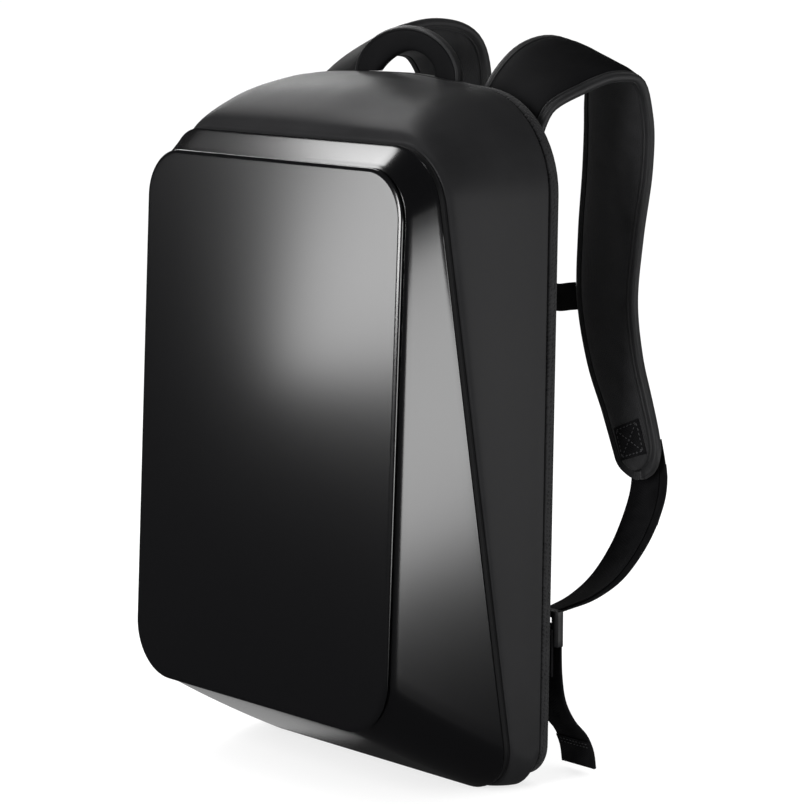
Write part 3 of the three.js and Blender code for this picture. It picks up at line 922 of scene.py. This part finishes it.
# Straps: shares of the body's half width, of the reach behind the panel, of the body's height and of the
# strap's width, then the turn in degrees, and the shares of the left strap's own swing and rise
STRAP_TABLE = [
    (0.64, 0.0, 0.862, 0.82, 0, 0.0, 0.0),
    (0.64, 0.012, 0.935, 0.82, 0, 0.0, 0.0),
    (0.665, 0.06, 0.983, 0.85, 11, 0.0, 0.05),
    (0.7, 0.32, 1.022, 0.97, 21, 0.25, 0.24),
    (0.725, 0.65, 1.037, 1.0, 21, 0.6, 0.24),
    (0.75, 0.92, 1.018, 1.0, 15, 0.85, 0.25),
    (0.75, 1.0, 0.955, 0.96, 5, 1.0, 0.2),
    (0.748, 1.0, 0.88, 0.9, 0, 0.98, 0.25),
    (0.743, 0.94, 0.78, 0.84, 0, 0.85, 0.35),
    (0.75, 0.9, 0.685, 0.78, 0, 0.68, 0.5),
    (0.806, 0.9, 0.6, 0.72, 0, 0.5, 0.65),
    (0.892, 0.9, 0.535, 0.65, 0, 0.35, 0.8),
    (0.975, 0.88, 0.478, 0.6, 0, 0.2, 0.95),
    (1.01, 0.865, 0.449, 0.56, 0, 0.12, 1.0),
    (1.025, 0.855, 0.43, 0.53, 0, 0.08, 1.0),
]
STERNUM_ROW = STRAP_TABLE[9]
STRAP_SEAT = CLEARANCE + STRAP_THICKNESS / 2
SIDES = (("right", 1), ("left", -1))


def strap_point(row, side):
    across, back, up, _, _, swing, rise = row
    own_swing, own_rise = (swing * LEFT_SWING, rise * LEFT_RISE) if side < 0 else (0.0, 0.0)
    return Vector((
        side * across * BODY_HALF_WIDTH,
        REAR_FACE + STRAP_SEAT + back * STRAP_REACH + own_swing,
        up * BODY_TOP + own_rise,
    ))


def strap_route(side):
    return Route([(*strap_point(row, side), row[3] * STRAP_WIDTH, side * row[4]) for row in STRAP_TABLE])


def rounded_half(half, left, inset):
    """Half width of a strap whose lower end is a half circle, with a length left to its tip."""
    if left >= half:
        return half - inset
    square = (half - inset) ** 2 - (half - left) ** 2
    return math.sqrt(square) if square > 0 else 0.0


def strap_lengths(route, start, end_inset):
    """Lengths from the root down to the tip, closer where the end is rounded."""
    half = route.at(route.length)[3] / 2
    bend = half - end_inset
    ends = [route.length - half + bend * math.sin(angle) * TIP_SHARE for angle in quarter(TIP_STEPS)[1:]]
    return spread(start, route.length - half, STRAP_STEP) + ends


def strap_rise(share):
    """Half thickness of a strap's pad at a share of its half width."""
    swell = (1 - min(abs(share), 1.0) ** PAD_SQUARENESS) ** PAD_FULLNESS
    return mix(BINDING_THICKNESS / 2 - PAD_TUCK, STRAP_THICKNESS / 2, swell)


def strap_core(side):
    """The padded middle of a strap: smooth cloth outside, mesh lining inside."""
    route = strap_route(side)

    def section(width, length):
        half = rounded_half(width / 2, route.length - length, STRAP_BINDING)
        face = [(share * half, strap_rise(share)) for share in sine_shares(CORE_STEPS)]
        return face + [(a, -b) for a, b in reversed(face)]

    bm = band(route, strap_lengths(route, STRAP_BINDING, STRAP_BINDING), section)
    knots = [(route.place(route.value(position)), length) for length, position in route.table[::6]]
    for face in bm.faces:
        point = face.calc_center_median()
        nearest = min(knots, key=lambda knot: (knot[0] - point).length)
        centre, _, normal, _ = route.at(nearest[1])
        face.material_index = 1 if (point - centre).dot(normal) > 0 else 0
    return bm


# Bead of a border beside the pad: distances from the border's inner edge and from its half thickness
BEAD = ((-0.0012, -0.0012), (0.0001, -0.0002), (0.0006, 0.0006), (0.0012, 0.0006), (0.0019, -0.0001))
BINDING_ROUND = 0.0022


def binding_section(inner, outer, half):
    """Half of a strap's border from its inner to its outer edge: a flat tape with a bead beside the pad."""
    wall = min(BINDING_ROUND, max(outer - inner, 1e-4) * 0.5)
    upper = [(inner + away, half + above) for away, above in BEAD]
    for angle in quarter(5):
        upper.append((outer - wall + wall * math.sin(angle), max(half * math.cos(angle), 0.0)))
    lower = [(a, -b) for a, b in reversed(upper[:-1])]
    return upper + lower


def strap_binding(side, edge):
    """The bound border of a strap along one edge, from the root to the tip."""
    route = strap_route(side)

    def section(width, length):
        left = route.length - length
        inner = rounded_half(width / 2, left, STRAP_BINDING)
        outer = max(rounded_half(width / 2, left, 0.0), inner + 0.0015)
        points = binding_section(max(inner, 0.0013), max(outer, 0.0033), BINDING_THICKNESS / 2)
        return [(edge * a, b) for a, b in points]

    return band(route, strap_lengths(route, 0.0, 0.0), section)


def patch_rise(route, across, length):
    """Height of the lined face of a strap above its middle, at a place across and along it."""
    half = route.at(length)[3] / 2 - STRAP_BINDING
    return strap_rise(across / half)


def strap_patch(side):
    """A square patch sewn on the lined face near the strap's lower end."""
    route = strap_route(side)

    def section(width, length):
        steps = [mix(-PATCH_HALF, PATCH_HALF, step / 10) for step in range(11)]
        upper = [(a, patch_rise(route, a, length) + PATCH_THICKNESS) for a in steps]
        return upper + [(a, patch_rise(route, a, length) - PATCH_SINK) for a in reversed(steps)]

    start = route.length - PATCH_END - 2 * PATCH_HALF
    return band(route, spread(start, start + 2 * PATCH_HALF, 0.002), section)


def sew(places):
    """Stitches, each a small ellipsoid of thread between two of the places (start, end, normal)."""
    bm = bmesh.new()
    for start, end, normal in places:
        along = (end - start).normalized()
        turn = Matrix((along, normal.cross(along), normal)).transposed().to_4x4()
        width, height = (THREAD * share for share in THREAD_SHAPE)
        size = Matrix.Diagonal(((end - start).length / 2, width, height, 1.0))
        place = Matrix.Translation((start + end) / 2) @ turn @ size
        bmesh.ops.create_icosphere(bm, subdivisions=1, radius=1.0, matrix=place)
    return bm


def seam_run(start, end, place):
    """Stitch ends along a straight run in a flat lay, each put in space by the place function."""
    run = math.dist(start, end)
    count = max(int(run / STITCH_PITCH), 1)
    found = []
    for index in range(count):
        shares = [(index + share) / count for share in STITCH_SPAN]
        ends = [place(mix(start[0], end[0], share), mix(start[1], end[1], share)) for share in shares]
        found.append((ends[0][0], ends[1][0], ends[0][1]))
    return found


def patch_stitches(side):
    """A stitched square with a cross inside it."""
    route = strap_route(side)
    middle = route.length - PATCH_END - PATCH_HALF
    reach = PATCH_HALF - PATCH_MARGIN

    def place(across, along):
        centre, sideways, normal, _ = route.at(middle + along)
        rise = patch_rise(route, across, middle + along) + PATCH_THICKNESS
        return centre + sideways * across + normal * rise, normal

    corners = [(-reach, -reach), (reach, -reach), (reach, reach), (-reach, reach)]
    runs = list(zip(corners, corners[1:] + corners[:1])) + [corners[0::2], corners[1::2]]
    return sew([stitch for start, end in runs for stitch in seam_run(start, end, place)])


WEBBING_LAY = (STRAP_THICKNESS + WEBBING_THICKNESS) / 2 + 3 * CLEARANCE
ADJUSTER_FRONT = 2 * CLEARANCE + WEBBING_THICKNESS
ADJUSTER_REAR = ADJUSTER_FRONT + ADJUSTER_THICKNESS

# Webbing below the strap: shares of the way from the adjuster to the strap's end, and the turn in degrees
WEBBING_TABLE = [
    (0.965, 0.985, 0.86, 0),
    (0.836, 0.93, 0.68, 0),
    (0.657, 0.81, 0.47, 4),
    (0.443, 0.63, 0.28, 8),
    (0.229, 0.41, 0.16, 12),
    (0.015, 0.2, 0.1, 14),
    (0.0, 0.0, 0.08, 14),
]


def webbing_rows(side):
    end = strap_point(STRAP_TABLE[-1], side)
    rows = []
    for row in STRAP_TABLE[-3:]:
        point = strap_point(row, side)
        rows.append((point.x, point.y + WEBBING_LAY, point.z, WEBBING_WIDTH, 0.0))
    for across, back, up, turn in WEBBING_TABLE:
        rows.append((
            side * mix(ADJUSTER_ACROSS, abs(end.x), across),
            mix(REAR_FACE + ADJUSTER_REAR + WEBBING_SEAT, end.y + WEBBING_LAY, back),
            mix(ADJUSTER_CENTRE, end.z, up),
            WEBBING_WIDTH,
            side * turn,
        ))
    return rows


def ribbon_section(low, high, bottom, top):
    """A flat ribbon between two places on the side axis, with slightly thicker selvedges."""
    sunk, shoulder = top - RIB_SINK * (top - bottom), mix(bottom, top, SELVEDGE_SHOULDER)
    edge = ((0.0, shoulder), (SELVEDGE_ROUND, top), (SELVEDGE, top), (1.5 * SELVEDGE, sunk))
    upper = [(low + a, b) for a, b in edge]
    upper += [(mix(low + 2 * SELVEDGE, high - 2 * SELVEDGE, step / 6), sunk) for step in range(7)]
    upper += [(high - a, b) for a, b in reversed(edge)]
    return upper + [(a, top + bottom - b) for a, b in reversed(upper)]


def ribbon(rows, bottom, top, sides=(-1.0, 1.0), across=(1.0, 0.0, 0.0), start=0.0):
    """A woven ribbon along rows, between two shares of its half width and two heights of its lay."""
    route = Route(rows, across)

    def section(width, _):
        return ribbon_section(sides[0] * width / 2, sides[1] * width / 2, bottom, top)

    return band(route, spread(start, route.length, RIBBON_STEP), section)


def lower_webbing(side):
    """Two plies of webbing, the rear one set outwards, as it runs through the adjuster and back."""
    half = WEBBING_THICKNESS / 2
    plies = []
    for (low, high), bottom, top in ((FRONT_PLY, FRONT_PLY_BACK, half), (REAR_PLY, -half, REAR_PLY_FRONT)):
        sides = (low, high) if side > 0 else (-high, -low)
        plies.append(ribbon(webbing_rows(side), bottom, top, sides))
    return plies


def join(parts):
    """One bmesh of several, with their lays kept."""
    whole = bmesh.new()
    for part in parts:
        mesh = mesh_of("part", part)
        whole.from_mesh(mesh)
        bpy.data.meshes.remove(mesh)
    return whole


def end_tab(side):
    """A tab laid over the webbing at the strap's end: one flat ribbon as thick as the webbing."""
    rows = [
        (x + side * END_TAB_SHIFT, y + WEBBING_THICKNESS + 2 * CLEARANCE, z, END_TAB_WIDTH, turn)
        for x, y, z, _, turn in webbing_rows(side)[1:5]
    ]
    return ribbon(rows, -WEBBING_THICKNESS / 2, WEBBING_THICKNESS / 2)


# Free tail: back in shares of the strap's reach, up in shares of the adjuster's height
TAIL_TABLE = [
    (0.0, 0.96), (0.0, 0.84), (0.01, 0.68), (0.05, 0.52), (0.15, 0.38), (0.29, 0.26), (0.36, 0.15),
    (0.385, 0.04),
]


def tail_rows(side):
    seat = REAR_FACE + ADJUSTER_REAR + CLEARANCE + WEBBING_THICKNESS / 2
    return [
        (side * ADJUSTER_ACROSS, seat + back * STRAP_REACH, up * ADJUSTER_CENTRE, WEBBING_WIDTH, 0.0)
        for back, up in TAIL_TABLE
    ]


def webbing_tail(side):
    """The free end of the webbing, with its end folded back and sewn."""
    rows = tail_rows(side)
    half = WEBBING_THICKNESS / 2
    main = ribbon(rows, -half, half * TAIL_PLY_TOP)
    low, high = (half * share for share in TAIL_FOLD_LAY)
    fold = ribbon(rows, low, high, start=Route(rows).length - TAIL_FOLD)
    return join([main, fold])


def tail_stitches(side):
    """Two rows across the folded end of the tail, on both of its faces."""
    route = Route(tail_rows(side))
    found = []
    for face in (-1, 1):
        def place(across, along, face=face):
            centre, sideways, normal, _ = route.at(along)
            rise = WEBBING_THICKNESS * TAIL_SEAM_RISE[face]
            return centre + sideways * across + normal * rise * face, normal

        for back in TAIL_SEAMS:
            along = route.length - back
            found += seam_run((-TAIL_SEAM_HALF, along), (TAIL_SEAM_HALF, along), place)
    return sew(found)


# Half of the sternum strap: shares of the way from the strap to the buckle and of its sway, and the sag
STERNUM_TABLE = [(0, 0, 0), (0.12, 0, 0.001), (0.5, 0.25, 0.0052), (0.85, 0.9, 0.001), (1, 1, 0)]


def sternum_ribbon(side):
    buckle = (strap_point(STERNUM_ROW, 1) + strap_point(STERNUM_ROW, -1)) / 2
    buckle.y += STERNUM_SAG
    end = strap_point(STERNUM_ROW, side)
    edge = abs(end.x) - STERNUM_ROW[3] * STRAP_WIDTH / 2 - STERNUM_SEAT
    rows = []
    for share, sway, sag in STERNUM_TABLE:
        rows.append((
            side * mix(edge, BUCKLE_WIDTH / 2 + STERNUM_SEAT / 2, share),
            mix(end.y, buckle.y, sway),
            mix(end.z, buckle.z, sway) - sag,
            STERNUM_WIDTH,
            0.0,
        ))
    half = STERNUM_THICKNESS / 2
    return ribbon(rows, -half, half, across=(0.0, 0.0, 1.0))


# Adjuster: its grid of cells, and the columns and rows of the windows in it
ADJUSTER_GRID = (6, 5)
WINDOW_COLUMNS = (1, 2, 3, 4)
WINDOW_ROWS = (1, 3)


def ladder_block(low, high):
    """A block with two windows, whose cells are taken out before it gets its thickness."""
    bm = bmesh.new()
    columns, rows = ADJUSTER_GRID
    bmesh.ops.create_grid(bm, x_segments=columns, y_segments=rows, size=0.5)
    gone = []
    for face in bm.faces:
        centre = face.calc_center_median()
        column, row = int((centre.x + 0.5) * columns), int((centre.y + 0.5) * rows)
        if column in WINDOW_COLUMNS and row in WINDOW_ROWS:
            gone.append(face)
    bmesh.ops.delete(bm, geom=gone, context="FACES")
    size = high - low
    for vert in bm.verts:
        x, z = vert.co.x + 0.5, vert.co.y + 0.5
        vert.co = Vector((low.x + x * size.x, low.y, low.z + z * size.z))
    walls = bmesh.ops.extrude_face_region(bm, geom=bm.faces[:])["geom"]
    for item in walls:
        if isinstance(item, bmesh.types.BMVert):
            item.co.y = high.y
    bmesh.ops.recalc_face_normals(bm, faces=bm.faces[:])
    sharp = [edge for edge in bm.edges if len(edge.link_faces) == 2 and edge.calc_face_angle(0) > ADJUSTER_TURN]
    round_off(bm, sharp, ADJUSTER_ROUND, 3)
    return bm


def rounded_block(low, high, corner, edge):
    """A block with rounded upright corners and softly rounded faces."""
    bm = bmesh.new()
    bmesh.ops.create_cube(bm, size=1.0)
    middle, size = (low + high) / 2, high - low
    for vert in bm.verts:
        vert.co = Vector(tuple(middle[i] + vert.co[i] * size[i] for i in range(3)))
    upright = [e for e in bm.edges if abs((e.verts[0].co - e.verts[1].co).y) > size.y * 0.9]
    round_off(bm, upright, corner, 8)
    level = [e for e in bm.edges if abs((e.verts[0].co - e.verts[1].co).y) < MERGE]
    rims = [e for e in level if len(e.link_faces) == 2 and e.calc_face_angle(0) > BLOCK_TURN]
    round_off(bm, rims, edge, 4)
    return bm


# Grab handle


def handle_rings(width_points):
    """Rings once along the arch, from its right foot to its left one, with points (share out, depth)."""
    rings = []
    for step in range(HANDLE_STEPS + 1):
        angle = step / HANDLE_STEPS * math.pi
        across, up = math.cos(angle), abs(math.sin(angle))
        hole_rise = HANDLE_HOLE_RISE * up ** HANDLE_HOLE_PEAK
        inner = Vector((HANDLE_INNER_HALF * across + HANDLE_HOLE_LEAN * up, 0, hole_rise))
        outer = Vector((HANDLE_OUTER_HALF * across + HANDLE_LEAN * up, 0, HANDLE_RISE * up))
        gap = (outer - inner).length
        points = []
        for out, depth in width_points(gap):
            point = inner.lerp(outer, out)
            foot = BODY_TOP + back_outline.crown_at(point.x) + CLEARANCE
            points.append(point + Vector((0, REAR_FACE - PANEL_RIM / 2 + depth, foot)))
        rings.append(points)
    return rings


def handle_core():
    half = HANDLE_THICKNESS / 2

    def profile(gap):
        border = HANDLE_BINDING / gap
        face = []
        for share in sine_shares(HANDLE_CORE_STEPS):
            swell = (1 - abs(share) ** 3) ** 0.5
            face.append(((1 - border) * (share + 1) / 2, half * mix(HANDLE_EDGE_SHARE, 1.0, swell)))
        return face + [(a, -b) for a, b in reversed(face)]

    return skin(handle_rings(profile))


def handle_binding():
    """The bound border along the handle's outer edge."""
    half = HANDLE_THICKNESS / 2 * HANDLE_BINDING_SHARE

    def profile(gap):
        return [(a / gap, b) for a, b in binding_section(gap - HANDLE_BINDING, gap, half)]

    return skin(handle_rings(profile))


# Light and camera


# Soft lights: degrees around the object and above the floor, distance, size and power
LIGHTS = {
    "plate_light": (-126.8, 5.2, 1.6, (0.52, 0.50), 7.2),
    "top_light": (178.0, 54.6, 1.6, (0.66, 0.50), 9.2),
    "side_light": (28.6, -5.4, 1.5, (0.68, 0.50), 9.1),
    "rear_light": (150.0, 26.0, 1.8, (0.60, 0.45), 5.0),
    "rim_light": (-77.0, 17.0, 1.5, (0.30, 0.90), 20.0),
    "low_light": (154.0, -34.0, 1.15, (0.32, 0.20), 0.10),
}
LIGHT_TARGET = Vector((0.0, -0.05, 0.27))
CAMERA_WORLD, DIFFUSE_WORLD, GLOSSY_WORLD = 1.0, 0.9, 0.025


def softbox(name, around, above, distance, size, power):
    """A soft light seen from the object at an angle around it and above the floor, turned to face it."""
    light = bpy.data.lights.new(name, "AREA")
    light.shape = "RECTANGLE"
    light.size, light.size_y = size
    light.energy = power
    lamp = placed(name, light)
    turn, rise = math.radians(around), math.radians(above)
    direction = Vector((math.cos(rise) * math.cos(turn), math.cos(rise) * math.sin(turn), math.sin(rise)))
    lamp.location = LIGHT_TARGET + direction * distance
    lamp.rotation_euler = direction.to_track_quat("Z", "Y").to_euler()


def studio():
    for name, row in LIGHTS.items():
        softbox(name, *row)
    world = bpy.data.worlds.new("studio")
    bpy.context.scene.world = world
    world.use_nodes = True
    nodes = Nodes(world.node_tree)
    for node in list(world.node_tree.nodes):
        world.node_tree.nodes.remove(node)
    path = nodes.add("ShaderNodeLightPath").outputs
    seen, ambient, gloss = (
        nodes.add("ShaderNodeBackground", {"Color": (1.0, 1.0, 1.0, 1.0), "Strength": strength}).outputs[0]
        for strength in (CAMERA_WORLD, DIFFUSE_WORLD, GLOSSY_WORLD)
    )
    lit = nodes.add("ShaderNodeMixShader", {0: path["Is Glossy Ray"], 1: ambient, 2: gloss}).outputs[0]
    shown = nodes.add("ShaderNodeMixShader", {0: path["Is Camera Ray"], 1: lit, 2: seen}).outputs[0]
    nodes.add("ShaderNodeOutputWorld", {"Surface": shown})


def floor():
    bm = bmesh.new()
    bmesh.ops.create_grid(bm, x_segments=2, y_segments=2, size=FLOOR_SIZE)
    plane = placed("floor", mesh_of("floor", bm))
    material = base_material("floor", {
        "Base Color": (FLOOR_GREY, FLOOR_GREY, FLOOR_GREY, 1.0), "Roughness": 0.9,
        "Specular IOR Level": 0.0, "Emission Color": (1.0, 1.0, 1.0, 1.0), "Emission Strength": FLOOR_GLOW,
    })[0]
    plane.data.materials.append(material)
    plane.visible_glossy = False
    plane.visible_shadow = False


def camera():
    data = bpy.data.cameras.new("camera")
    data.lens = LENS_MM
    data.sensor_width = SENSOR_MM
    data.sensor_fit = "HORIZONTAL"
    view = placed("camera", data)
    view.location = CAMERA_PLACE
    view.rotation_euler = (CAMERA_TARGET - CAMERA_PLACE).to_track_quat("-Z", "Y").to_euler()
    bpy.context.scene.camera = view


def dress_side(name, side):
    def add(label, bm, slot, node=None, looks=None):
        add_piece(f"{label}_{name}", bm, slot, [f"{node}_{name}"] if node else (), looks)

    core = ["strap_fabric", "strap_lining"]
    add("strap_pad", strap_core(side), "strap_fabric", "shoulder_strap", core)
    add("strap_outer_binding", strap_binding(side, side), "strap_fabric", looks=["binding_tape"])
    add("strap_inner_binding", strap_binding(side, -side), "strap_fabric", looks=["binding_tape"])
    add("strap_patch", strap_patch(side), "strap_fabric", looks=["webbing"])
    add("patch_stitches", patch_stitches(side), "strap_fabric", looks=["thread"])
    add("tail_stitches", tail_stitches(side), "webbing", looks=["thread"])
    front, rear = lower_webbing(side)
    add("webbing_front_ply", front, "webbing", "lower_webbing")
    add("webbing_rear_ply", rear, "webbing")
    add("strap_end_tab", end_tab(side), "webbing", "end_tab")
    add("free_tail", webbing_tail(side), "webbing", "webbing_tail")
    add("sternum_half", sternum_ribbon(side), "webbing", "sternum_strap")
    add("ladder_adjuster", ladder_block(*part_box(f"adjuster_{name}")), "buckle_plastic", "adjuster")
    low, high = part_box(f"anchor_tab_{name}")
    across, depth = low.x / 2 + high.x / 2, low.y / 2 + high.y / 2
    rows = [(across, depth, z, WEBBING_WIDTH, 0.0) for z in (low.z, high.z)]
    add("sewn_tab", ribbon(rows, -WEBBING_THICKNESS / 2, WEBBING_THICKNESS / 2), "webbing", "anchor_tab")


def dress():
    add_piece("plate_face", front_plate(), "plate_gloss", ["front_plate"])
    add_piece("shell_skin", hard_shell(), "shell_gloss", ["hard_shell"], sharp=60.0)
    add_piece("seam_band", seam_piping(), "piping", ["seam_piping"])
    add_piece("body_cloth", body_wall(), "body_fabric", ["body_wall"])
    add_piece("panel_pad", back_panel(), "panel_fabric", ["back_panel"])
    add_piece("handle_pad", handle_core(), "strap_fabric", ["grab_handle"])
    add_piece("handle_binding", handle_binding(), "strap_fabric", looks=["binding_tape"])
    panel_pads()
    for name, side in SIDES:
        dress_side(name, side)
    buckle = rounded_block(*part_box("sternum_buckle"), BUCKLE_CORNER, BUCKLE_EDGE)
    add_piece("closed_buckle", buckle, "buckle_plastic", ["sternum_buckle"])


dress()
floor()
studio()
camera()
bpy.context.scene.view_settings.view_transform = "Standard"
bpy.context.view_layer.update()
